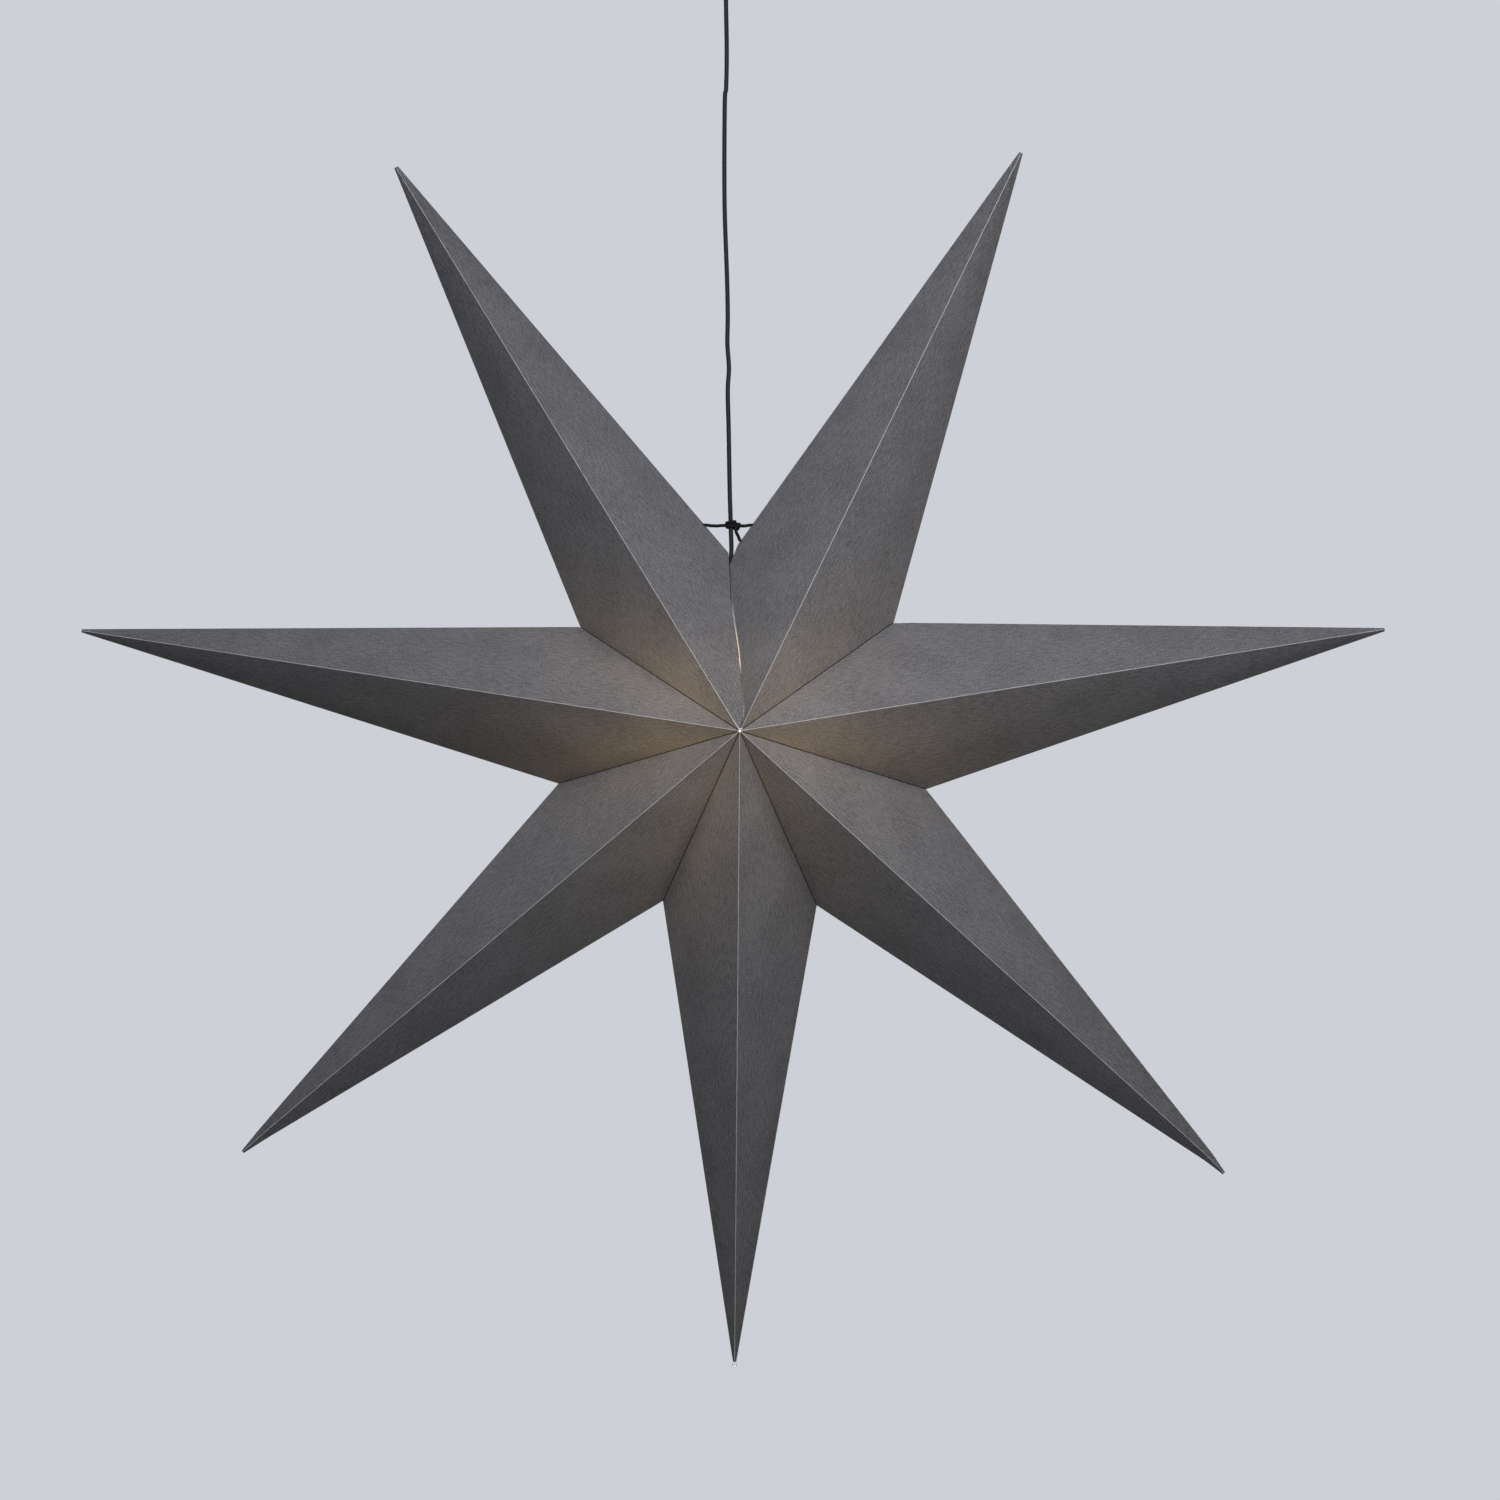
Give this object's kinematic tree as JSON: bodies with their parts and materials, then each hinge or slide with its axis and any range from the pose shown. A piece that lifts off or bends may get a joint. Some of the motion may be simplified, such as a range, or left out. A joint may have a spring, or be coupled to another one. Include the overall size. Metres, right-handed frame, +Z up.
{
  "type": "paper star lantern",
  "caption": "Hanging paper star lantern: folded paper points round a pendant lamp, on a black cord from a ceiling cup.",
  "frame": {"origin": "centre of the ceiling bracket's flat top face, which lies on the ceiling", "axes": "+Z up, -Y towards the star's front, +X to the right as seen from the front"},
  "size_m": [1.0009, 0.2186, 1.1462],
  "materials": {
    "paper": "matt, felt-like fibres",
    "closure_pad": "hook and loop",
    "tie_string": "twisted string",
    "cord_sheath": "smooth sheath",
    "black_paint": "satin",
    "black_plastic": "moulded",
    "pale_plastic": "moulded",
    "contact_ceramic": "unglazed",
    "bright_steel": "plated",
    "brass": "plain",
    "frosted_glass": "frosted",
    "clear_glass": "clear",
    "filament": "glowing"
  },
  "bodies": {
    "ceiling_fitting": {"ceiling_bracket": "bright_steel", "bracket_screw_left": "brass", "bracket_screw_right": "brass", "ceiling_cup": "black_paint", "threaded_nipple": "brass", "cup_lock_nut": "brass", "terminal_block": "pale_plastic", "terminal_screw_line_in": "bright_steel", "terminal_screw_line_out": "bright_steel", "terminal_screw_neutral_in": "bright_steel", "terminal_screw_neutral_out": "bright_steel"},
    "grip": {"cord_grip": "black_paint", "cord_grip_screw": "bright_steel"},
    "pendant": {"lamp_cord": "cord_sheath", "holder_cord_grip": "black_plastic", "holder_cap": "black_plastic", "holder_body": "black_plastic", "holder_contact_block": "contact_ceramic", "holder_thread_shell": "brass", "holder_centre_contact": "brass", "holder_wire_screw_left": "brass", "holder_wire_screw_right": "brass"},
    "bulb": {"bulb_tip_contact": "bright_steel", "bulb_insulator": "black_plastic", "bulb_screw_cap": "bright_steel", "bulb_glass": "frosted_glass", "bulb_stem": "clear_glass", "bulb_filament": "filament"},
    "star": {"star_point_upper_left": "paper", "star_point_upper_right": "paper", "star_point_right": "paper", "star_point_lower_right": "paper", "star_point_bottom": "paper", "star_point_lower_left": "paper", "star_point_left": "paper", "closure_hook_pad_front": "closure_pad", "closure_loop_pad_front": "closure_pad", "closure_hook_pad_back": "closure_pad", "closure_loop_pad_back": "closure_pad", "tie_string": "tie_string", "bottom_tip_eyelet": "bright_steel"}
  },
  "joints": [
    {"name": "cord_turn", "type": "hinge", "parent": "ceiling_fitting", "child": "grip", "pos_m": [0, 0, -0.064], "axis": [0, 0, 1], "range_deg": [-180, 180]},
    {"name": "pendant_swing", "type": "hinge", "parent": "grip", "child": "pendant", "pos_m": [0, 0, -0.064], "axis": [1, 0, 0], "range_deg": [-15, 15]},
    {"name": "star_lift", "type": "slide", "parent": "pendant", "child": "star", "axis": [-0.03, 0, 0.9995], "range_m": [0, 0.03]},
    {"name": "bulb_unscrew", "type": "hinge", "parent": "pendant", "child": "bulb", "pos_m": [0.0035, 0, -0.634], "axis": [0, 0, -1], "range_deg": [0, 1080]}
  ]
}
